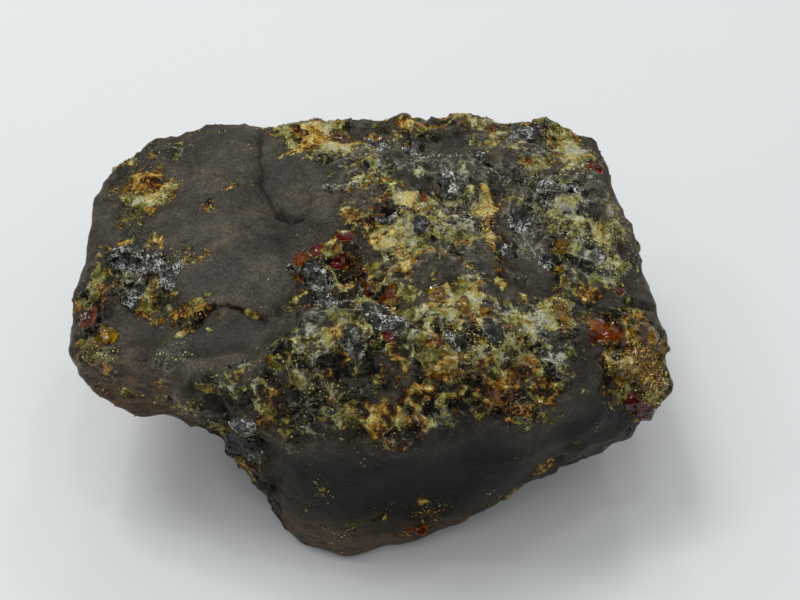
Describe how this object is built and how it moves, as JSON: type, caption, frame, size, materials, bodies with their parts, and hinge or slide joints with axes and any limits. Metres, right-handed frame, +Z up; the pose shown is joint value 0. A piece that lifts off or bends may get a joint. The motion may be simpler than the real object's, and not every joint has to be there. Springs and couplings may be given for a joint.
{
  "type": "raw amber lump",
  "caption": "Fist-sized lump of raw amber with a dark weathered rind, a jutting lobe at one end and flaked, pitted sides, resting on the worn flat of its underside.",
  "frame": {"origin": "on the surface that the lump rests on, in the worn flat of its underside, near the middle of the lump", "axes": "+X along the lump's length from the jutting lobe to the broad end, -Y towards the steep front face, +Z up from the surface that it rests on"},
  "size_m": [0.1188, 0.0857, 0.0526],
  "materials": {
    "amber_rind": "satin, with glossy breaks"
  },
  "bodies": {
    "root": {"amber_lump": "amber_rind"}
  },
  "joints": []
}
